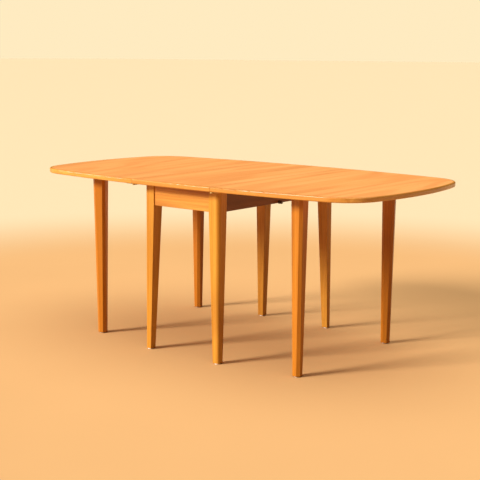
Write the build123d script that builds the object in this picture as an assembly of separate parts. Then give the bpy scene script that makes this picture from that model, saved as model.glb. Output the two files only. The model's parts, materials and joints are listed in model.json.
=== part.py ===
from build123d import *
import os
from math import sqrt

# Drop leaf dining table, leaves raised. All sizes are in millimetres.
# X runs along the length, across both leaf seams. Y runs across the width, with
# "near" on the -Y side and "far" on the +Y side. Z is up from the floor, and the
# origin is on the floor under the middle of the top. The table is the same after
# half a turn about Z.

# Whole table
TABLE_HEIGHT = 740.0
HALF_LENGTH = 901.0
HALF_WIDTH = 483.0
SIDE_RADIUS = 5320.0      # slow bow of the two long sides
END_RADIUS = 1416.0       # bow of the two ends
CORNER_RADIUS = 172.0     # round of the four corners

# Top boards
BOARD = 20.0              # thickness of the top
LIPPING = 10.0            # width of the solid edge strip round the veneered boards
EDGE_ROUND = 4.5          # round of the top's edge, above and below
SEAM_X = 212.5            # hinge line between the centre board and a leaf
SEAM_GAP = 1.0
SEAM_ARRIS = 0.8
UNDERSIDE = TABLE_HEIGHT - BOARD

# Fixed legs and the frame between them
LEG_FACE_X = 202.5        # outer faces of the fixed legs
LEG_FACE_Y = 410.5
LEG_SHOULDER = 52.3       # square of the leg beside the aprons
LEG_FOOT = 29.5
LEG_ROUND_TOP = 18.0      # round of the outer corner
LEG_ROUND_FOOT = 11.0
ARRIS = 1.2               # small round on sharp wooden edges
APRON_DEPTH = 93.0
APRON_THICK = 20.0
APRON_STEP = 5.0          # how far the aprons stand back from the leg faces
TENON_THICK = 10.0
TENON_LONG = 25.0
TENON_SHOULDER = 16.5     # apron depth left above and below the tenon
APRON_BOTTOM = UNDERSIDE - APRON_DEPTH
PAD_RADIUS = 12.5         # felt pads under all the legs
PAD_THICK = 3.5

# Corner blocks, buttons and buffers
BLOCK_HEIGHT = 50.0
BLOCK_THICK = 22.0
BLOCK_GAP = 1.0           # between the block and the leg's inner corner, along X + Y
BUTTON_WIDTH = 30.0
BUTTON_DEPTH = 16.0
BUTTON_TONGUE = 7.0
BUTTON_BITE = 8.0         # how far the tongue goes into the apron
BUTTON_BACK = 2.0         # gap between a button's body and the apron
GROOVE_SLACK = 0.5        # above and below a button's tongue
BUTTON_Y = 170.0          # buttons on the long aprons, either side of the middle
BUFFER_RADIUS = 7.0
BUFFER_PROUD = 17.0
BUFFER_SUNK = 2.0         # how far the buffer's screw head is sunk below its end
BUFFER_Z = 631.0

# Leaf hinges
PIN_Z = 716.5
PIN_RADIUS = 1.5
KNUCKLE_RADIUS = 3.2
KNUCKLE_CLEAR = 0.3
PIN_CLEAR = 0.05
HINGE_LENGTH = 50.0
HINGE_Y = (-446.0, 0.0, 446.0)
FLAP_THICK = 1.6
CENTRE_FLAP = 14.0        # reach of the short flap from the pin
LEAF_FLAP = 37.0          # reach of the long flap from the pin
FLAP_ROUND = 2.5          # round of the flaps' free corners
CENTRE_SPOTS = [(-9.0, -16.0), (-9.0, 16.0)]              # screws, from the pin's middle
LEAF_SPOTS = [(11.0, -16.0), (11.0, 16.0), (28.0, 0.0)]

# Screws: shank radius, head radius, length
HINGE_SCREW = (1.6, 3.1, 12.0)
PLATE_SCREW = (2.0, 3.9, 16.0)
BLOCK_SCREW = (2.5, 4.8, 47.0)
BUTTON_SCREW = (2.0, 4.0, 30.0)
BUFFER_SCREW = (1.75, 3.4, 31.0)
DRIVER_SLOT = 0.8         # width of the driver slots
DRIVER_DEPTH = 0.9
SLOT_SHORT = 1.2          # how much shorter a driver slot is than its head is wide

# Folding leaf legs, each on a plate under its leaf. One leg of each leaf folds almost
# straight across it and the other folds on a slant, so that the two pass each other.
LEAF_LEG_X = 545.0
LEAF_LEG_Y = 333.0
LEAF_LEG_TOP = 57.0
LEAF_LEG_FOOT = 38.0
LEAF_LEG_CHAMFER = 11.0
LEAF_LEG_TOP_BEVEL = 9.0  # keeps the top clear of the fixed legs as a leaf hangs
STRAIGHT_FOLD = 6.0       # turn of the fold axis in plan, near right and far left legs
STRAIGHT_FACES = 0.0      # turn of the faces of those legs
SLANTED_FOLD = 23.0       # the same for the far right and near left legs
SLANTED_FACES = 23.0
PIVOT_Z = 689.5
PIVOT_RADIUS = 4.0
PIVOT_HALF = 20.0         # half the length of the steel pivot pin
LEG_TOP_ROUND = 27.0      # from the pivot to the top of the leg
RELIEF_BELOW = 30.0       # how far below the pivot the inner face is cut back to that round
PLATE_THICK = 3.0
PLATE_ROUND = 8.0
PLATE_SCREW_INSET = 9.0
PLATE_X = 62.0
PLATE_Y = 112.0
TONGUE_THICK = 6.0
TONGUE_HALF = 12.0
SLOT_WIDTH = 10.6
SLOT_CLEAR = 0.6          # behind the tongue, where the slot is blind
SLOT_BELOW = 12.6         # depth of the slot below the pivot
WASHER_THICK = 2.0
WASHER_RADIUS = 9.0
BEYOND = 60.0             # reaches clear of a leaf leg from its pivot

SIDES = {"left": -1, "right": 1}
ENDS = {"near": -1, "far": 1}
OTHER_END = {"near": "far", "far": "near"}
CORNERS = [(1, 1), (-1, 1), (-1, -1), (1, -1)]


# ---------------------------------------------------------------- small helpers

def box_between(low, high):
    """A box from its lowest to its highest corner."""
    size = [b - a for a, b in zip(low, high)]
    middle = [(a + b) / 2 for a, b in zip(low, high)]
    return Pos(*middle) * Box(*size)


def countersunk(screw):
    """Solid outline of a countersunk screw, head face at the origin, point along +Z."""
    shank, head, length = screw
    cone = head - shank
    profile = Polyline(
        (0, 0), (head, 0), (shank, cone), (shank, length - 2 * shank), (0, length), (0, 0)
    )
    return revolve(Plane.XZ * make_face(profile), Axis.Z)


def screw_with_slot(screw):
    """The same screw with its driver slot."""
    head = screw[1]
    return countersunk(screw) - Box(2 * head - SLOT_SHORT, DRIVER_SLOT, 2 * DRIVER_DEPTH)


def placed(shape, places):
    """Copies of one shape at each of the places."""
    return [place * shape for place in places]


def cut(body, tools):
    """The body with every tool taken away."""
    for tool in tools:
        body = body - tool
    return body


def half_turn(shapes):
    """The same shapes turned half a turn about Z."""
    return [Rot(0, 0, 180) * shape for shape in shapes]


def save(node, shapes):
    """Write one node, as one solid or a group of separate solids."""
    solids = []
    for shape in shapes:
        solids += shape.solids()
    for number, solid in enumerate(solids):
        solid.label = f"{node}_{number + 1}"
    group = solids[0] if len(solids) == 1 else Compound(children=solids)
    group.label = node
    export_step(group, os.path.join("parts", node + ".step"))


# ---------------------------------------------------------------- screws in place

def hinge_places(side):
    """Places of the three hinges of one seam; local +X points to the leaf."""
    turn = 0 if side > 0 else 180
    return [Pos(side * SEAM_X, y, PIN_Z) * Rot(0, 0, turn) for y in HINGE_Y]


def flap_screw_places(spots):
    """Screw places on a flap, head at the flap's lower face."""
    level = UNDERSIDE - FLAP_THICK - PIN_Z
    return [Pos(x, y, level) for x, y in spots]


def hinge_screws(side, spots, shape):
    """Every hinge screw of one seam on the given flap."""
    return [
        hinge * place * shape for hinge in hinge_places(side) for place in flap_screw_places(spots)
    ]


def fold_place(end):
    """Place of a right leaf leg's pivot; local X is the fold axis, the foot folds to local +Y."""
    turn = STRAIGHT_FOLD if end < 0 else 180 + SLANTED_FOLD
    return Pos(LEAF_LEG_X, end * LEAF_LEG_Y, PIVOT_Z) * Rot(0, 0, turn)


def leg_stand(end):
    """Place of a right leaf leg on the floor, turned as its faces are."""
    turn = STRAIGHT_FACES if end < 0 else SLANTED_FACES
    return Pos(LEAF_LEG_X, end * LEAF_LEG_Y, 0) * Rot(0, 0, turn)


def plate_screw_places(end):
    """The four screws of one leg mount, heads at the plate's lower face."""
    level = UNDERSIDE - PLATE_THICK - PIVOT_Z
    x = PLATE_X / 2 - PLATE_SCREW_INSET
    y = PLATE_Y / 2 - PLATE_SCREW_INSET
    spots = [Pos(a * x, b * y, level) for a in (-1, 1) for b in (-1, 1)]
    return [fold_place(end) * spot for spot in spots]


def button_places():
    """Places of the top buttons; local +X points to the apron's inner face."""
    long_face = LEG_FACE_X - APRON_STEP - APRON_THICK
    short_face = LEG_FACE_Y - APRON_STEP - APRON_THICK
    places = [Pos(long_face, y, UNDERSIDE) for y in (-BUTTON_Y, BUTTON_Y)]
    places.append(Pos(0, short_face, UNDERSIDE) * Rot(0, 0, 90))
    return places + [Rot(0, 0, 180) * place for place in places]


def button_screw_places():
    """Screws through the middle of the buttons, driven upwards."""
    spot = Pos(-BUTTON_WIDTH / 2 - BUTTON_BACK, 0, -BUTTON_DEPTH)
    return [place * spot for place in button_places()]


def to_corner(shape, signs):
    """Mirror a shape from the +X +Y corner into another corner."""
    if signs[0] < 0:
        shape = mirror(shape, Plane.YZ)
    if signs[1] < 0:
        shape = mirror(shape, Plane.XZ)
    return shape


# ---------------------------------------------------------------- the top

def top_outline(inset):
    """Plan shape of the whole raised top, moved in from its edge."""
    side = Circle(SIDE_RADIUS - inset)
    end = Circle(END_RADIUS - inset)
    side_shift = SIDE_RADIUS - HALF_WIDTH
    end_shift = END_RADIUS - HALF_LENGTH
    sides = (Pos(0, side_shift) * side) & (Pos(0, -side_shift) * side)
    ends = (Pos(end_shift, 0) * end) & (Pos(-end_shift, 0) * end)
    outline = sides & ends
    return fillet(outline.vertices(), CORNER_RADIUS - inset)


def whole_top():
    """The whole top as one slab with rounded edges."""
    slab = extrude(Pos(0, 0, UNDERSIDE) * top_outline(0), BOARD)
    rims = slab.edges().group_by(Axis.Z)
    return fillet(rims[0] + rims[-1], EDGE_ROUND)


def veneered_core():
    """The whole top inside its lipping."""
    return extrude(Pos(0, 0, UNDERSIDE) * top_outline(LIPPING), BOARD)


def centre_region():
    """The slice of the top between the two seams."""
    reach = SEAM_X - SEAM_GAP / 2
    region = box_between((-reach, -HALF_WIDTH, UNDERSIDE), (reach, HALF_WIDTH, TABLE_HEIGHT))
    edges = region.edges().filter_by(Axis.Y).group_by(Axis.Z)[-1]
    return chamfer(edges, SEAM_ARRIS)


def leaf_region():
    """The slice of the top beyond the right seam."""
    start = SEAM_X + SEAM_GAP / 2
    region = box_between((start, -HALF_WIDTH, UNDERSIDE), (HALF_LENGTH, HALF_WIDTH, TABLE_HEIGHT))
    edge = region.edges().filter_by(Axis.Y).group_by(Axis.Z)[-1].sort_by(Axis.X)[0]
    return chamfer(edge, SEAM_ARRIS)


def centre_boards():
    """Centre board and its near and far lippings."""
    core = veneered_core()
    region = centre_region()
    holes = hinge_screws(1, CENTRE_SPOTS, countersunk(HINGE_SCREW))
    holes += hinge_screws(-1, CENTRE_SPOTS, countersunk(HINGE_SCREW))
    holes += placed(countersunk(BUTTON_SCREW), button_screw_places())
    panel = cut(core & region, holes)
    strips = ((whole_top() - core) & region).solids().sort_by(Axis.Y)
    return panel, strips[0], strips[-1]


def right_leaf_boards():
    """Veneered board and lipping of the right leaf."""
    core = veneered_core()
    region = leaf_region()
    holes = hinge_screws(1, LEAF_SPOTS, countersunk(HINGE_SCREW))
    for end in ENDS.values():
        holes += placed(countersunk(PLATE_SCREW), plate_screw_places(end))
    panel = cut(core & region, holes)
    lipping = (whole_top() - core) & region
    return panel, lipping


# ---------------------------------------------------------------- the frame

def fixed_leg_section(width, outer_round, height):
    """Section of a fixed leg at a height; its outer corner is at +X +Y."""
    square = Pos(LEG_FACE_X - width / 2, LEG_FACE_Y - width / 2) * Rectangle(width, width)
    corners = square.vertices().sort_by(lambda v: v.X + v.Y)
    square = fillet(corners[-1], outer_round)
    others = square.vertices().sort_by(lambda v: v.X + v.Y)
    middle = LEG_FACE_X + LEG_FACE_Y - width
    sharp = [v for v in others if v.X + v.Y < middle + 1]
    square = fillet(sharp, ARRIS)
    return Pos(0, 0, height) * square


def fixed_leg():
    """Leg of the +X +Y corner: square beside the aprons, tapered on its inner faces."""
    shoulder = fixed_leg_section(LEG_SHOULDER, LEG_ROUND_TOP, APRON_BOTTOM)
    foot = fixed_leg_section(LEG_FOOT, LEG_ROUND_FOOT, PAD_THICK)
    leg = loft([foot, shoulder], ruled=True) + extrude(shoulder, APRON_DEPTH)
    leg = leg - long_tenon(0) - short_tenon(0)
    return leg - block_screw_place() * countersunk(BLOCK_SCREW)


def tenon_levels():
    """Lowest and highest level of the apron tenons."""
    return APRON_BOTTOM + TENON_SHOULDER, UNDERSIDE - TENON_SHOULDER


def long_tenon(start):
    """Tenon of the right long apron into the far leg, drawn from a given Y."""
    low, high = tenon_levels()
    middle = LEG_FACE_X - APRON_STEP - APRON_THICK / 2
    tip = LEG_FACE_Y - LEG_SHOULDER + TENON_LONG
    half = TENON_THICK / 2
    return box_between((middle - half, start, low), (middle + half, tip, high))


def short_tenon(start):
    """Tenon of the far short apron into the right leg, drawn from a given X."""
    low, high = tenon_levels()
    middle = LEG_FACE_Y - APRON_STEP - APRON_THICK / 2
    tip = LEG_FACE_X - LEG_SHOULDER + TENON_LONG
    half = TENON_THICK / 2
    return box_between((start, middle - half, low), (tip, middle + half, high))


def button_groove(place):
    """Groove in an apron for one button's tongue, with room for the top to move."""
    low = -BUTTON_DEPTH - GROOVE_SLACK
    high = -BUTTON_DEPTH + BUTTON_TONGUE + GROOVE_SLACK
    half = BUTTON_WIDTH / 2 + 1
    return place * box_between((-1, -half, low), (BUTTON_BITE + 1, half, high))


def right_long_apron():
    """Long apron under the right seam, with a tenon at each end."""
    outer = LEG_FACE_X - APRON_STEP
    end = LEG_FACE_Y - LEG_SHOULDER
    board = box_between((outer - APRON_THICK, -end, APRON_BOTTOM), (outer, end, UNDERSIDE))
    board = chamfer(board.edges().filter_by(Axis.Y).group_by(Axis.Z)[0], 1)
    board = board + long_tenon(0) + mirror(long_tenon(0), Plane.XZ)
    board = cut(board, [button_groove(place) for place in button_places()[:2]])
    return board - buffer_screw_place() * countersunk(BUFFER_SCREW)


def far_short_apron():
    """Short apron between the two far legs, with a tenon at each end."""
    outer = LEG_FACE_Y - APRON_STEP
    end = LEG_FACE_X - LEG_SHOULDER
    board = box_between((-end, outer - APRON_THICK, APRON_BOTTOM), (end, outer, UNDERSIDE))
    board = chamfer(board.edges().filter_by(Axis.X).group_by(Axis.Z)[0], 1)
    board = board + short_tenon(0) + mirror(short_tenon(0), Plane.YZ)
    return board - button_groove(button_places()[2])


def inner_corner():
    """Sum of X and Y at the inner corner of the +X +Y leg."""
    return LEG_FACE_X + LEG_FACE_Y - 2 * LEG_SHOULDER


def block_faces():
    """Sum of X and Y on the outer and inner slanted faces of a corner block."""
    outer = inner_corner() - BLOCK_GAP
    return outer, outer - BLOCK_THICK * sqrt(2)


def corner_block():
    """Slanted block in the +X +Y corner, glued to both aprons."""
    outer, inner = block_faces()
    x = LEG_FACE_X - APRON_STEP - APRON_THICK
    y = LEG_FACE_Y - APRON_STEP - APRON_THICK
    outline = Polyline((x, outer - x), (outer - y, y), (inner - y, y), (x, inner - x), close=True)
    low = (APRON_BOTTOM + UNDERSIDE - BLOCK_HEIGHT) / 2
    block = extrude(Pos(0, 0, low) * make_face(outline), BLOCK_HEIGHT)
    return block - block_screw_place() * countersunk(BLOCK_SCREW)


def block_screw_place():
    """Place of the screw through the +X +Y corner block into the leg's inner corner."""
    back = (inner_corner() - block_faces()[1]) / 2
    x = LEG_FACE_X - LEG_SHOULDER - back
    y = LEG_FACE_Y - LEG_SHOULDER - back
    level = (APRON_BOTTOM + UNDERSIDE) / 2
    return Pos(x, y, level) * Rot(0, 0, 45) * Rot(0, 90, 0)


def top_button():
    """Wooden button under the top, its tongue pointing along +X."""
    half = BUTTON_WIDTH / 2
    back = -BUTTON_BACK - BUTTON_WIDTH
    block = box_between((back, -half, -BUTTON_DEPTH), (-BUTTON_BACK, half, 0))
    level = -BUTTON_DEPTH + BUTTON_TONGUE
    tongue = box_between((-BUTTON_BACK, -half, -BUTTON_DEPTH), (BUTTON_BITE, half, level))
    screw = Pos(-half - BUTTON_BACK, 0, -BUTTON_DEPTH) * countersunk(BUTTON_SCREW)
    return block + tongue - screw


def buffer_screw_place():
    """Screw through the right leaf buffer, its head sunk in the buffer's end."""
    head = LEG_FACE_X - APRON_STEP + BUFFER_PROUD - BUFFER_SUNK
    return Pos(head, 0, BUFFER_Z) * Rot(0, -90, 0)


def leaf_buffer():
    """Rubber stud on the right apron that a hanging leaf rests against."""
    outer = LEG_FACE_X - APRON_STEP
    stud = Cylinder(BUFFER_RADIUS, BUFFER_PROUD)
    stud = fillet(stud.edges().group_by(Axis.Z)[-1], 1.5)
    stud = Pos(outer + BUFFER_PROUD / 2, 0, BUFFER_Z) * Rot(0, 90, 0) * stud
    middle = Pos(outer + BUFFER_PROUD - BUFFER_SUNK / 2, 0, BUFFER_Z)
    bore = middle * Rot(0, 90, 0) * Cylinder(BUFFER_SCREW[1], BUFFER_SUNK)
    return stud - bore - buffer_screw_place() * countersunk(BUFFER_SCREW)


def felt_pad(x, y):
    """Round felt pad under one leg."""
    pad = Cylinder(PAD_RADIUS, PAD_THICK)
    pad = fillet(pad.edges().group_by(Axis.Z)[-1], 0.8)
    return Pos(x, y, PAD_THICK / 2) * pad


# ---------------------------------------------------------------- leaf hinges

def flap(reach, stations, bore_radius, spots):
    """Hinge flap under a board, on the +X side of the pin when reach is positive."""
    top = UNDERSIDE - PIN_Z
    start = KNUCKLE_RADIUS + KNUCKLE_CLEAR + 0.1
    half = HINGE_LENGTH / 2
    sign = 1 if reach > 0 else -1
    ends = sorted((sign * start, reach))
    plate = box_between((ends[0], -half, top - FLAP_THICK), (ends[1], half, top))
    corners = plate.edges().filter_by(Axis.Z).group_by(Axis.X)[-1 if sign > 0 else 0]
    plate = fillet(corners, FLAP_ROUND)
    for low, high in stations:
        xs = sorted((0, sign * start))
        plate = plate + box_between((xs[0], low, top - FLAP_THICK), (xs[1], high, top))
        barrel = Cylinder(KNUCKLE_RADIUS, high - low)
        plate = plate + Pos(0, (low + high) / 2, 0) * Rot(90, 0, 0) * barrel
    plate = plate - Rot(90, 0, 0) * Cylinder(bore_radius, 2 * HINGE_LENGTH)
    return cut(plate, placed(countersunk(HINGE_SCREW), flap_screw_places(spots)))


def centre_flap():
    """Short flap on the centre board, with the two end knuckles."""
    half = HINGE_LENGTH / 2
    stations = [(-half, -half / 3), (half / 3, half)]
    return flap(-CENTRE_FLAP, stations, PIN_RADIUS, CENTRE_SPOTS)


def leaf_flap():
    """Long flap on the leaf, with the middle knuckle."""
    reach = HINGE_LENGTH / 6 - KNUCKLE_CLEAR
    return flap(LEAF_FLAP, [(-reach, reach)], PIN_RADIUS + PIN_CLEAR, LEAF_SPOTS)


def hinge_pin():
    """Pin of one hinge."""
    pin = Rot(90, 0, 0) * Cylinder(PIN_RADIUS, HINGE_LENGTH)
    return chamfer(pin.edges().filter_by(GeomType.CIRCLE), 0.3)


# ---------------------------------------------------------------- folding leaf legs

def leaf_leg_section(width, height):
    """Square section of a leaf leg with all four corners taken off."""
    square = chamfer(Rectangle(width, width).vertices(), LEAF_LEG_CHAMFER)
    return Pos(0, 0, height) * square


def leaf_leg_blank():
    """Tapered leg about its own centre line, bevelled at both ends, floor at Z = 0."""
    foot = leaf_leg_section(LEAF_LEG_FOOT, PAD_THICK)
    top = leaf_leg_section(LEAF_LEG_TOP, PIVOT_Z + LEG_TOP_ROUND)
    leg = loft([foot, top], ruled=True)
    leg = chamfer(leg.faces().sort_by(Axis.Z)[0].edges(), 1)
    return chamfer(leg.faces().sort_by(Axis.Z)[-1].edges(), LEAF_LEG_TOP_BEVEL)


def pivot_axis_rod(radius, low, high):
    """A rod along the fold axis, between two places on it."""
    return Pos((low + high) / 2, 0, 0) * Rot(0, 90, 0) * Cylinder(radius, high - low)


def leaf_leg(end):
    """One right leaf leg, slotted over its mount's tongue and rounded where it turns."""
    half = SLOT_WIDTH / 2
    slot = box_between((-half, -TONGUE_HALF - SLOT_CLEAR, -SLOT_BELOW), (half, BEYOND, BEYOND))
    round_over = box_between((-BEYOND, 0, 0), (BEYOND, BEYOND, BEYOND))
    round_over = round_over - pivot_axis_rod(LEG_TOP_ROUND, -BEYOND, BEYOND)
    relief = box_between((-BEYOND, LEG_TOP_ROUND, -RELIEF_BELOW), (BEYOND, BEYOND, 1))
    hole = pivot_axis_rod(PIVOT_RADIUS, -BEYOND, BEYOND)
    tools = [fold_place(end) * tool for tool in (slot, round_over, relief, hole)]
    return cut(leg_stand(end) * leaf_leg_blank(), tools)


def pivot_plugs(end):
    """Wooden plugs that close the two ends of the pivot hole, flush with the leg."""
    blank = leg_stand(end) * leaf_leg_blank()
    place = fold_place(end)
    plug = pivot_axis_rod(PIVOT_RADIUS, PIVOT_HALF, BEYOND)
    return [(place * plug) & blank, (place * Rot(0, 0, 180) * plug) & blank]


def pivot_pin(end):
    """Steel pin that the leg turns on."""
    pin = pivot_axis_rod(PIVOT_RADIUS, -PIVOT_HALF, PIVOT_HALF)
    return fold_place(end) * chamfer(pin.edges().filter_by(GeomType.CIRCLE), 0.5)


def friction_washers(end):
    """Fibre washers between the slot's walls and the tongue."""
    inner = SLOT_WIDTH / 2 - WASHER_THICK
    washer = pivot_axis_rod(WASHER_RADIUS, inner, SLOT_WIDTH / 2)
    washer = washer - pivot_axis_rod(PIVOT_RADIUS, inner, SLOT_WIDTH / 2)
    place = fold_place(end)
    return [place * washer, place * Rot(0, 0, 180) * washer]


def leg_mount(end):
    """Plate under the right leaf with the tongue that carries the leg's pivot."""
    top = UNDERSIDE - PIVOT_Z
    plate = box_between(
        (-PLATE_X / 2, -PLATE_Y / 2, top - PLATE_THICK), (PLATE_X / 2, PLATE_Y / 2, top)
    )
    plate = fillet(plate.edges().filter_by(Axis.Z), PLATE_ROUND)
    half = TONGUE_THICK / 2
    tongue = box_between((-half, -TONGUE_HALF, 0), (half, TONGUE_HALF, top - PLATE_THICK))
    tongue = tongue + pivot_axis_rod(TONGUE_HALF, -half, half)
    bore = pivot_axis_rod(PIVOT_RADIUS + PIN_CLEAR, -2 * half, 2 * half)
    mount = fold_place(end) * (plate + tongue - bore)
    return cut(mount, placed(countersunk(PLATE_SCREW), plate_screw_places(end)))


# ---------------------------------------------------------------- writing the nodes

def write_frame():
    """Every node of the standing frame and the centre board."""
    panel, near, far = centre_boards()
    save("centre_panel", [panel])
    save("centre_lipping_near", [near])
    save("centre_lipping_far", [far])
    apron = right_long_apron()
    save("long_apron_right", [apron])
    save("long_apron_left", half_turn([apron]))
    apron = far_short_apron()
    save("short_apron_far", [apron])
    save("short_apron_near", half_turn([apron]))
    leg = fixed_leg()
    for side_name, side in SIDES.items():
        for end_name, end in ENDS.items():
            save(f"fixed_leg_{end_name}_{side_name}", [to_corner(leg, (side, end))])
    save("corner_blocks", [to_corner(corner_block(), s) for s in CORNERS])
    screw = block_screw_place() * screw_with_slot(BLOCK_SCREW)
    save("corner_block_screws", [to_corner(screw, s) for s in CORNERS])
    save("top_buttons", placed(top_button(), button_places()))
    save("top_button_screws", placed(screw_with_slot(BUTTON_SCREW), button_screw_places()))
    x = LEG_FACE_X - LEG_FOOT / 2
    y = LEG_FACE_Y - LEG_FOOT / 2
    save("fixed_leg_pads", [felt_pad(a * x, b * y) for a, b in CORNERS])
    save("leaf_buffer_right", [leaf_buffer()])
    save("leaf_buffer_left", half_turn([leaf_buffer()]))
    screw = buffer_screw_place() * screw_with_slot(BUFFER_SCREW)
    save("leaf_buffer_screws", [screw] + half_turn([screw]))


def write_hinges():
    """Centre flaps, pins and screws of both seams, which stay with the frame."""
    screws = []
    for name, side in SIDES.items():
        save(f"centre_hinge_flaps_{name}", placed(centre_flap(), hinge_places(side)))
        save(f"hinge_pins_{name}", placed(hinge_pin(), hinge_places(side)))
        screws += hinge_screws(side, CENTRE_SPOTS, screw_with_slot(HINGE_SCREW))
    save("centre_hinge_screws", screws)


def save_pair(tail, end_name, shapes):
    """Write a node of the right leaf and, turned half a turn, its twin on the left leaf."""
    save(f"right_{end_name}_{tail}", shapes)
    save(f"left_{OTHER_END[end_name]}_{tail}", half_turn(shapes))


def write_leaves():
    """Boards, hinge flaps and leg mounts of both leaves."""
    panel, lipping = right_leaf_boards()
    nodes = {
        "leaf_panel": [panel],
        "leaf_lipping": [lipping],
        "leaf_hinge_flaps": placed(leaf_flap(), hinge_places(1)),
        "leaf_hinge_screws": hinge_screws(1, LEAF_SPOTS, screw_with_slot(HINGE_SCREW)),
    }
    screws = []
    for end_name, end in ENDS.items():
        save_pair("leg_mount", end_name, [leg_mount(end)])
        screws += placed(screw_with_slot(PLATE_SCREW), plate_screw_places(end))
    nodes["leg_mount_screws"] = screws
    for tail, shapes in nodes.items():
        save("right_" + tail, shapes)
        save("left_" + tail, half_turn(shapes))


def write_leaf_legs():
    """Every node that folds with a leaf leg."""
    for end_name, end in ENDS.items():
        pad = felt_pad(LEAF_LEG_X, end * LEAF_LEG_Y)
        save_pair("leaf_leg", end_name, [leaf_leg(end)])
        save_pair("pivot_pin", end_name, [pivot_pin(end)])
        save_pair("pivot_plugs", end_name, pivot_plugs(end))
        save_pair("friction_washers", end_name, friction_washers(end))
        save_pair("leg_pad", end_name, [pad])


os.makedirs("parts", exist_ok=True)
write_frame()
write_hinges()
write_leaves()
write_leaf_legs()
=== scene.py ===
import json
import math

import bpy
from mathutils import Matrix, Vector


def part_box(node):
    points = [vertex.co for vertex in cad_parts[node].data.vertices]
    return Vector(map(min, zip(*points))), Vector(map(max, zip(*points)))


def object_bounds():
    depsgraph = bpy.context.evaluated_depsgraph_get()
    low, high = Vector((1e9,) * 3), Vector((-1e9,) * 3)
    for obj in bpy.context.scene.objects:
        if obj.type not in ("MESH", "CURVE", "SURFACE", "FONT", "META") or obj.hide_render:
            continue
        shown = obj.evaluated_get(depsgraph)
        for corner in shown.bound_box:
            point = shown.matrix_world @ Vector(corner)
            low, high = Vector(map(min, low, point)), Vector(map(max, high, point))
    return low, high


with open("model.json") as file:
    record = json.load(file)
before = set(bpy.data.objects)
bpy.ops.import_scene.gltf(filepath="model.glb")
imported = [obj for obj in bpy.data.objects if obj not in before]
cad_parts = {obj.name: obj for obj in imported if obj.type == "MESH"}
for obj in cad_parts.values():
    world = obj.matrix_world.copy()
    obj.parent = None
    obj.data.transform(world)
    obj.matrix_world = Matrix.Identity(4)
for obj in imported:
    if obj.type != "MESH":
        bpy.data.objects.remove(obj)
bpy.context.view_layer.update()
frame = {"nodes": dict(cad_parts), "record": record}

# Drop leaf table: materials, light and camera round the fixed CAD frame. Metres, +Z up,
# X along the length of the top, Y across it.

NODES = frame["nodes"]
LOW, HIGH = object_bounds()

# Each seam lies halfway across the gap between two boards
SEAM = (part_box("centre_panel")[1].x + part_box("right_leaf_panel")[0].x) / 2

# Wood colours as (light, middle, dark) of the grain
VENEER = ((0.90, 0.410, 0.135), (0.78, 0.318, 0.088), (0.58, 0.190, 0.042))
LIPPING = ((0.64, 0.300, 0.056), (0.52, 0.205, 0.028), (0.33, 0.100, 0.010))
RAIL = ((0.60, 0.262, 0.046), (0.48, 0.183, 0.026), (0.30, 0.088, 0.010))
# Long aprons: the rail wood darkened as painted shade, for their place under the leaves' overhang
RAIL_IN_PAINTED_SHADE = ((0.22, 0.082, 0.017), (0.17, 0.056, 0.011), (0.10, 0.030, 0.005))
FIXED_LEG = ((0.58, 0.265, 0.032), (0.45, 0.176, 0.014), (0.28, 0.090, 0.005))
LEAF_LEG = ((0.50, 0.180, 0.014), (0.38, 0.116, 0.005), (0.23, 0.060, 0.002))
# Left near leaf leg: the leaf leg tones lightened as painted light, for the brighter light that
# falls on that leg
LIGHT_LEAF_LEG = ((0.62, 0.228, 0.020), (0.49, 0.158, 0.008), (0.29, 0.078, 0.003))
BEECH = ((0.80, 0.58, 0.36), (0.72, 0.49, 0.28), (0.55, 0.35, 0.18))

# Boards' own places in the tree
BOARD_SHIFTS = {"centre_panel": 0.0, "left_leaf_panel": 3.1, "right_leaf_panel": 7.7}

# Lacquer, and the depth of the pores in it
LACQUER_SPECULAR = 0.22
PORE_DEPTH = 0.0004

# Edge strip: how far in from the sides and ends its grain turns the corner
EDGE_TURN = 0.205

# Shade along the seams: full up to one distance, gone at the other
SEAM_SHADE = 0.35
SEAM_SHADE_FULL = 0.0012
SEAM_SHADE_GONE = 0.0026
SEAM_DUST = (0.10, 0.030, 0.008)

# Worn edges: their radius by material, and how far the rounded normal has to lean from the
# face before wear starts and where it is full
WOOD_EDGE = 0.0022
METAL_EDGE = 0.0005
HARD_EDGE = 0.0006
WEAR_STARTS = 0.995
WEAR_FULL = 0.86
EDGE_SAMPLES = 6

# Floor: two close shades near the table, one far from it
FLOOR_SIZE = 400
FLOOR_SHADES = ((0.50, 0.285, 0.118), (0.55, 0.32, 0.136))
FLOOR_FAR_SHADE = (0.58, 0.47, 0.30)
FLOOR_FADE_STARTS = 2.2
FLOOR_FADE_ENDS = 4.2

# Lights: softness is a width in degrees
LIGHT_TINT = (1.0, 0.95, 0.88)
KEY_TOWARD = (0.43, 0.80, -0.41)
KEY_STRENGTH = 6.3
KEY_SOFTNESS = 16
OVERHEAD_TOWARD = (0.0, 0.0, -1.0)
OVERHEAD_STRENGTH = 3.2
OVERHEAD_SOFTNESS = 80

# Surround: its light on the table, and its brightness where the camera sees it
SURROUND = (1.0, 0.83, 0.53, 1.0)
SURROUND_LIGHT = 0.01
SURROUND_SEEN = 1.0

# Camera: place, turns in radians, lens and sensor in millimetres
CAMERA = (2.9711, -3.7460, 1.2534)
YAW = 0.67285
PITCH = 0.1677
ROLL = 0.0066
LENS = 82.14
SENSOR_WIDTH = 36


# ---------------------------------------------------------------- shader helpers

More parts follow.
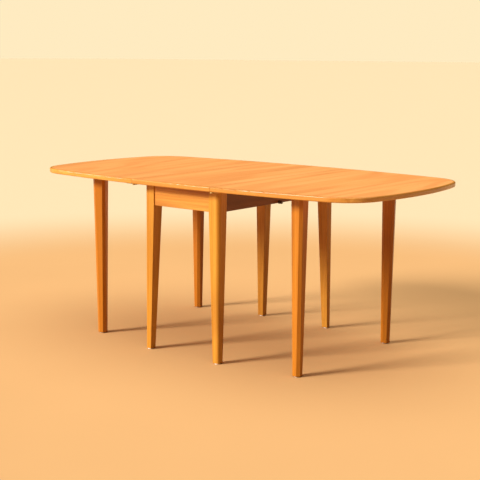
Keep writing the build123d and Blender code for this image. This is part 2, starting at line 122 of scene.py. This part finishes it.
class Shader:
    """Adds shader nodes to a new material and links them in one call each."""

    def __init__(self, name):
        self.material = bpy.data.materials.new(name)
        self.material.use_nodes = True
        self.tree = self.material.node_tree
        self.tree.nodes.clear()

    def add(self, kind, inputs=None, out=0, **settings):
        """Add one node, set or link its inputs, and return one of its outputs."""
        node = self.tree.nodes.new("ShaderNode" + kind)
        for key, value in settings.items():
            setattr(node, key, value)
        for key, value in (inputs or {}).items():
            if isinstance(value, bpy.types.NodeSocket):
                self.tree.links.new(value, node.inputs[key])
            else:
                node.inputs[key].default_value = value
        return node.outputs[out]

    def place(self):
        """The piece's own coordinates."""
        return self.add("TexCoord", out="Object")

    def parts(self, vector):
        """The X, Y and Z of a vector."""
        return self.add("SeparateXYZ", {"Vector": vector}).node.outputs

    def joined(self, x, y, z):
        """A vector from its X, Y and Z."""
        return self.add("CombineXYZ", {"X": x, "Y": y, "Z": z})

    def math(self, operation, a, b=0.0, c=0.0):
        """Arithmetic on up to three values."""
        return self.add("Math", {0: a, 1: b, 2: c}, operation=operation)

    def mix(self, factor, a, b):
        """Mix two colours."""
        return self.add("Mix", {0: factor, 6: a, 7: b}, out=2, data_type="RGBA")

    def choose(self, factor, a, b):
        """Mix two vectors; a factor of nothing or one picks the first or the second."""
        return self.add("Mix", {0: factor, 4: a, 5: b}, out=1, data_type="VECTOR")

    def span(self, value, low, high, to_low=0.0, to_high=1.0):
        """Map a value smoothly from one span to another, held at the ends."""
        inputs = {
            "Value": value,
            "From Min": low,
            "From Max": high,
            "To Min": to_low,
            "To Max": to_high,
        }
        return self.add("MapRange", inputs, interpolation_type="SMOOTHSTEP")

    def noise(self, vector, scale, detail=3.0, roughness=0.5, distortion=0.0):
        """Noise from about nothing to one."""
        inputs = {
            "Vector": vector,
            "Scale": scale,
            "Detail": detail,
            "Roughness": roughness,
            "Distortion": distortion,
        }
        return self.add("TexNoise", inputs)

    def stretched(self, vector, scale):
        """The same coordinates scaled along each axis."""
        return self.add("Mapping", {"Vector": vector, "Scale": scale})

    def shifted(self, vector, shift):
        """The same coordinates moved to another place."""
        return self.add("Mapping", {"Vector": vector, "Location": shift})

    def bump(self, height, strength, distance, normal=None):
        """A surface raised by a height, on top of a normal if one is given."""
        inputs = {"Strength": strength, "Distance": distance, "Height": height}
        if normal:
            inputs["Normal"] = normal
        return self.add("Bump", inputs)

    def finish(self, inputs):
        """Close the material with one Principled shader."""
        surface = self.add("BsdfPrincipled", inputs)
        output = self.tree.nodes.new("ShaderNodeOutputMaterial")
        self.tree.links.new(surface, output.inputs["Surface"])
        return self.material


def colour(values):
    """A shader colour from red, green and blue."""
    return (*values, 1.0)


def edge_wear(shader, radius):
    """One on worn edges and nothing on flat faces, and the normal with its edges rounded."""
    rounded = shader.add("Bevel", {"Radius": radius}, samples=EDGE_SAMPLES)
    face = shader.add("NewGeometry", out="Normal")
    lean = shader.add("VectorMath", {0: rounded, 1: face}, out="Value", operation="DOT_PRODUCT")
    return shader.span(lean, WEAR_STARTS, WEAR_FULL), rounded


# ---------------------------------------------------------------- wood

def grain_space(shader, axis, shift):
    """The piece's coordinates with the grain along Z, shifted to a new place in the tree."""
    x, y, z = shader.parts(shader.place())
    if axis == "X":
        turned = shader.joined(y, z, x)
    elif axis == "Y":
        turned = shader.joined(x, z, y)
    elif axis == "edge":
        turned = edge_grain_space(shader, x, y, z)
    else:
        turned = shader.joined(x, y, z)
    return shader.shifted(turned, shift)


def edge_grain_space(shader, x, y, z):
    """Grain that follows the edge strip: along X on the sides, along Y on the ends."""
    along = shader.math("SUBTRACT", shader.math("ABSOLUTE", x), HIGH.x - EDGE_TURN)
    across = shader.math("SUBTRACT", shader.math("ABSOLUTE", y), HIGH.y - EDGE_TURN)
    is_end = shader.math("GREATER_THAN", along, across)
    return shader.choose(is_end, shader.joined(y, z, x), shader.joined(x, z, y))


def grain_noise(shader, space, squeeze, scale, detail, roughness=0.5, distortion=0.0):
    """Noise drawn out along the grain; a smaller squeeze makes longer streaks."""
    drawn_out = shader.stretched(space, (1, 1, squeeze))
    return shader.noise(drawn_out, scale, detail, roughness, distortion)


def growth_figure(shader, space, figure):
    """Fine straight streaks and slow cathedral rings, each from nothing to one."""
    slow = grain_noise(shader, space, 0.16, 3.2, 1.5, 0.4, 0.15)
    rings = shader.math("SINE", shader.math("MULTIPLY", slow, figure * 2 * math.pi))
    streaks = grain_noise(shader, space, 0.018, 60, 5, 0.66)
    return shader.span(streaks, 0.36, 0.66), shader.span(rings, -0.2, 1.0)


def seam_line(shader, tone):
    """Darken the boards' edges a little along the two seams, where dust gathers."""
    x = shader.parts(shader.place())["X"]
    from_seam = shader.math("SUBTRACT", shader.math("ABSOLUTE", x), SEAM)
    away = shader.math("ABSOLUTE", from_seam)
    dust = shader.span(away, SEAM_SHADE_FULL, SEAM_SHADE_GONE, SEAM_SHADE, 0.0)
    return shader.mix(dust, tone, colour(SEAM_DUST))


def wood(name, tones, axis, shift, figure=5.0, rings=0.42, pores=1.0, wear=0.3,
         roughness=0.30, coat=0.06, coat_roughness=0.22, relief=0.10, seams=False):
    """Lacquered open-grained wood with cathedral figure, streaks, pores and worn edges."""
    shader = Shader(name)
    light, middle, dark = (colour(tone) for tone in tones)
    space = grain_space(shader, axis, shift)
    streak, ring = growth_figure(shader, space, figure)
    fibres = grain_noise(shader, space, 0.012, 420, 2)
    patches = grain_noise(shader, space, 0.35, 5.5, 2)
    pore = shader.span(grain_noise(shader, space, 0.045, 900, 1, 0.4), 0.63, 0.74)
    worn, rounded = edge_wear(shader, WOOD_EDGE)

    tone = shader.mix(streak, light, middle)
    tone = shader.mix(shader.math("MULTIPLY", ring, rings), tone, dark)
    tone = shader.mix(shader.span(patches, 0.35, 0.75, 0.0, 0.35), tone, middle)
    tone = shader.mix(shader.span(fibres, 0.3, 0.7, 0.0, 0.22), tone, dark)
    tone = shader.mix(shader.math("MULTIPLY", pore, 0.45 * pores), tone, dark)
    tone = shader.mix(shader.math("MULTIPLY", worn, wear), tone, light)
    if seams:
        tone = seam_line(shader, tone)

    rough = shader.span(patches, 0.3, 0.7, roughness + 0.03, roughness + 0.11)
    rough = shader.math("ADD", rough, shader.math("MULTIPLY", pore, 0.18))
    height = shader.math("MULTIPLY_ADD", pore, -0.7, shader.math("MULTIPLY", fibres, 0.35))
    return shader.finish({
        "Base Color": tone,
        "Roughness": rough,
        "Normal": shader.bump(height, relief, PORE_DEPTH, rounded),
        "Specular IOR Level": LACQUER_SPECULAR,
        "Coat Weight": coat,
        "Coat Roughness": coat_roughness,
    })


# ---------------------------------------------------------------- other materials

def metal(name, base, tarnish, roughness):
    """Metal with fine brushing, dull patches and a little tarnish."""
    shader = Shader(name)
    place = shader.place()
    brushed = shader.noise(shader.stretched(place, (1, 1, 0.05)), 1400, 2, 0.5)
    patches = shader.noise(place, 60, 4, 0.6)
    worn, rounded = edge_wear(shader, METAL_EDGE)
    dull = shader.span(patches, 0.42, 0.72, 0.0, 0.7)
    tone = shader.mix(dull, colour(base), colour(tarnish))
    tone = shader.mix(shader.math("MULTIPLY", worn, 0.5), tone, colour(base))
    return shader.finish({
        "Base Color": tone,
        "Metallic": 1.0,
        "Roughness": shader.span(patches, 0.3, 0.7, roughness, roughness + 0.18),
        "Normal": shader.bump(brushed, 0.1, 0.0001, rounded),
    })


def painted_steel(name, paint, dust_tone, bare):
    """Painted plate with dust and chipped edges."""
    shader = Shader(name)
    place = shader.place()
    dust = shader.noise(place, 45, 5, 0.65)
    peel = shader.noise(place, 700, 2, 0.5)
    worn, rounded = edge_wear(shader, HARD_EDGE)
    chips = shader.math("MULTIPLY", worn, shader.span(dust, 0.45, 0.6))
    dusty = shader.span(dust, 0.4, 0.8, 0.0, 0.25)
    tone = shader.mix(dusty, colour(paint), colour(dust_tone))
    tone = shader.mix(chips, tone, colour(bare))
    return shader.finish({
        "Base Color": tone,
        "Roughness": shader.span(dust, 0.3, 0.7, 0.38, 0.6),
        "Normal": shader.bump(peel, 0.15, 0.0001, rounded),
    })


def felt(name, base, grubby, fibre_tone):
    """Pressed felt, a little grubby, with short fibres."""
    shader = Shader(name)
    place = shader.place()
    fibres = shader.noise(place, 1300, 4, 0.75, 1.2)
    grime = shader.noise(place, 130, 3, 0.6)
    dirty = shader.span(grime, 0.4, 0.75, 0.0, 0.6)
    tone = shader.mix(dirty, colour(base), colour(grubby))
    tone = shader.mix(shader.span(fibres, 0.35, 0.7, 0.0, 0.4), tone, colour(fibre_tone))
    return shader.finish({
        "Base Color": tone,
        "Roughness": 0.95,
        "Sheen Weight": 0.5,
        "Sheen Roughness": 0.5,
        "Normal": shader.bump(fibres, 0.6, 0.0006),
    })


def dull_moulding(name, base, scuffed, roughness):
    """Rubber or fibre: matt, slightly mottled, scuffed on its edges."""
    shader = Shader(name)
    mottle = shader.noise(shader.place(), 260, 4, 0.6)
    worn, rounded = edge_wear(shader, HARD_EDGE)
    mottled = shader.span(mottle, 0.4, 0.75, 0.0, 0.4)
    tone = shader.mix(mottled, colour(base), colour(scuffed))
    tone = shader.mix(shader.math("MULTIPLY", worn, 0.5), tone, colour(scuffed))
    return shader.finish({
        "Base Color": tone,
        "Roughness": shader.span(mottle, 0.3, 0.7, roughness, roughness + 0.15),
        "Normal": shader.bump(mottle, 0.25, 0.0002, rounded),
    })


# ---------------------------------------------------------------- dressing the nodes

def dress(node, material):
    """Give one CAD node its material."""
    slots = NODES[node].material_slots
    for slot in slots:
        slot.material = material
    if not slots:
        NODES[node].data.materials.append(material)


def piece_shift(start, step, number):
    """A place in the tree for each of several pieces that are cut alike."""
    return tuple(first + number * each for first, each in zip(start, step))


def dress_boards():
    """Veneered boards, with the grain across the table."""
    for node, shift in BOARD_SHIFTS.items():
        place = (shift, 0.4 * shift, 0.9 * shift)
        dress(node, wood(node + "_veneer", VENEER, "Y", place, figure=9.0, rings=0.34,
                         wear=0.1, roughness=0.27, seams=True))


def dress_lippings():
    """Solid strips round the boards, a little glossier than the rest."""
    strips = ("centre_lipping_near", "centre_lipping_far", "left_leaf_lipping", "right_leaf_lipping")
    for number, node in enumerate(strips):
        shift = piece_shift((11.0, 11.0, 11.0), (1.7, 1.7, 1.7), number)
        dress(node, wood(node + "_wood", LIPPING, "edge", shift, figure=3.0, wear=0.2,
                         roughness=0.27, coat=0.22, coat_roughness=0.26, relief=0.02))


def dress_aprons():
    """Long and short aprons, each from its own board; the long ones in darker tones, painted shade
    under the leaves' overhang.
    """
    for number, side in enumerate(("left", "right")):
        node = "long_apron_" + side
        shift = piece_shift((20.0, 3.0, 0.0), (1.0, 0.0, 1.0), number)
        dress(node, wood(node + "_wood", RAIL_IN_PAINTED_SHADE, "Y", shift))
    for number, end in enumerate(("near", "far")):
        node = "short_apron_" + end
        shift = piece_shift((24.0, 5.0, 0.0), (1.0, 0.0, 1.0), number)
        dress(node, wood(node + "_wood", RAIL, "X", shift, rings=0.5))


def dress_fixed_leg(side, end, number):
    """One leg of the frame."""
    node = f"fixed_leg_{end}_{side}"
    shift = piece_shift((30.0, 0.0, 0.0), (1.3, 2.1, 0.7), number)
    dress(node, wood(node + "_wood", FIXED_LEG, "Z", shift))


def dress_leaf_leg(side, end, number):
    """One leaf leg and the plugs in its pivot hole; the left near leg gets lighter tones, painted
    light for the brighter light on it.
    """
    tones = LIGHT_LEAF_LEG if (side, end) == ("left", "near") else LEAF_LEG
    shift = piece_shift((50.0, 0.0, 0.0), (1.3, 1.7, 0.9), number)
    leaf_wood = wood(f"{side}_{end}_leaf_leg_wood", tones, "Z", shift)
    dress(f"{side}_{end}_leaf_leg", leaf_wood)
    dress(f"{side}_{end}_pivot_plugs", leaf_wood)


def dress_legs():
    """All eight legs, each from its own piece of wood."""
    places = [(side, end) for side in ("left", "right") for end in ("near", "far")]
    for number, (side, end) in enumerate(places, start=1):
        dress_fixed_leg(side, end, number)
        dress_leaf_leg(side, end, number)


def dress_hidden_wood():
    """Bare beech blocks and buttons under the top."""
    beech = wood("bare_beech", BEECH, "Y", (70.0, 1.0, 2.0), figure=3.0, pores=0.5,
                 roughness=0.5)
    for node in ("corner_blocks", "top_buttons"):
        dress(node, beech)


def hardware_materials():
    """Metal, felt, rubber and fibre, by the record's material slots."""
    return {
        "screw_steel": metal("zinc_screws", (0.62, 0.58, 0.50), (0.30, 0.25, 0.18), 0.34),
        "pin_steel": metal("bright_pin", (0.66, 0.66, 0.66), (0.38, 0.36, 0.33), 0.25),
        "brass": metal("aged_brass", (0.60, 0.42, 0.17), (0.20, 0.12, 0.05), 0.36),
        "mount_steel": painted_steel("black_mount", paint=(0.022, 0.021, 0.02),
                                     dust_tone=(0.16, 0.13, 0.10), bare=(0.42, 0.40, 0.38)),
        "felt": felt("pale_felt", base=(0.78, 0.75, 0.70), grubby=(0.50, 0.45, 0.38),
                     fibre_tone=(0.92, 0.90, 0.86)),
        "rubber": dull_moulding("dark_rubber", (0.050, 0.024, 0.014), (0.11, 0.065, 0.04), 0.68),
        "fibre": dull_moulding("red_fibre", (0.20, 0.045, 0.030), (0.34, 0.13, 0.09), 0.55),
    }


def dress_hardware():
    """Every piece that isn't wood, by the slot that the record gives it."""
    materials = hardware_materials()
    for part in frame["record"]["subparts"]:
        if part["material_slot"] in materials:
            dress(part["node"], materials[part["material_slot"]])


# ---------------------------------------------------------------- stage, light, camera

def floor_material():
    """Two close tans round the table that fade to cream further out."""
    shader = Shader("pale_floor")
    place = shader.place()
    cloud = shader.noise(place, 0.8, 3, 0.5)
    tone = shader.mix(cloud, *(colour(shade) for shade in FLOOR_SHADES))
    distance = shader.add("VectorMath", {0: place}, out="Value", operation="LENGTH")
    fade = shader.span(distance, FLOOR_FADE_STARTS, FLOOR_FADE_ENDS)
    tone = shader.mix(fade, tone, colour(FLOOR_FAR_SHADE))
    return shader.finish({"Base Color": tone, "Roughness": 0.8, "Specular IOR Level": 0.1})


def make_floor():
    """Plain floor at the height of the feet."""
    bpy.ops.mesh.primitive_plane_add(size=FLOOR_SIZE, location=(0, 0, LOW.z))
    floor = bpy.context.object
    floor.name = "floor"
    floor.data.materials.append(floor_material())


def add_sun(name, toward, strength, softness):
    """A distant light that shines along a direction."""
    lamp = bpy.data.lights.new(name, "SUN")
    lamp.energy = strength
    lamp.angle = math.radians(softness)
    lamp.color = LIGHT_TINT
    holder = bpy.data.objects.new(name, lamp)
    bpy.context.scene.collection.objects.link(holder)
    holder.rotation_euler = Vector(toward).to_track_quat("-Z", "Y").to_euler()


def make_surround():
    """Cream all round, bright to the camera and faint as a light."""
    world = bpy.data.worlds.new("surround")
    world.use_nodes = True
    tree = world.node_tree
    background = tree.nodes["Background"]
    background.inputs["Color"].default_value = SURROUND
    path = tree.nodes.new("ShaderNodeLightPath")
    strength = tree.nodes.new("ShaderNodeMapRange")
    strength.inputs["To Min"].default_value = SURROUND_LIGHT
    strength.inputs["To Max"].default_value = SURROUND_SEEN
    tree.links.new(path.outputs["Is Camera Ray"], strength.inputs["Value"])
    tree.links.new(strength.outputs["Result"], background.inputs["Strength"])
    bpy.context.scene.world = world


def make_light():
    """Low soft key from the near left, a broad light overhead and a cream surround."""
    add_sun("key", KEY_TOWARD, KEY_STRENGTH, KEY_SOFTNESS)
    add_sun("overhead", OVERHEAD_TOWARD, OVERHEAD_STRENGTH, OVERHEAD_SOFTNESS)
    make_surround()


def make_camera():
    """Camera above table height, off the near right corner, looking a little down."""
    right = Vector((math.cos(YAW), math.sin(YAW), 0))
    level = Vector((-math.sin(YAW), math.cos(YAW), 0))
    ahead = level * math.cos(PITCH) - Vector((0, 0, math.sin(PITCH)))
    up = right.cross(ahead)
    turn = Matrix((right, up, -ahead)).transposed() @ Matrix.Rotation(ROLL, 3, "Z")
    camera = bpy.data.objects.new("camera", bpy.data.cameras.new("camera"))
    bpy.context.scene.collection.objects.link(camera)
    camera.matrix_world = Matrix.Translation(CAMERA) @ turn.to_4x4()
    camera.data.sensor_width = SENSOR_WIDTH
    camera.data.lens = LENS
    bpy.context.scene.camera = camera


dress_boards()
dress_lippings()
dress_aprons()
dress_legs()
dress_hidden_wood()
dress_hardware()
make_floor()
make_light()
make_camera()
bpy.context.scene.view_settings.view_transform = "Standard"
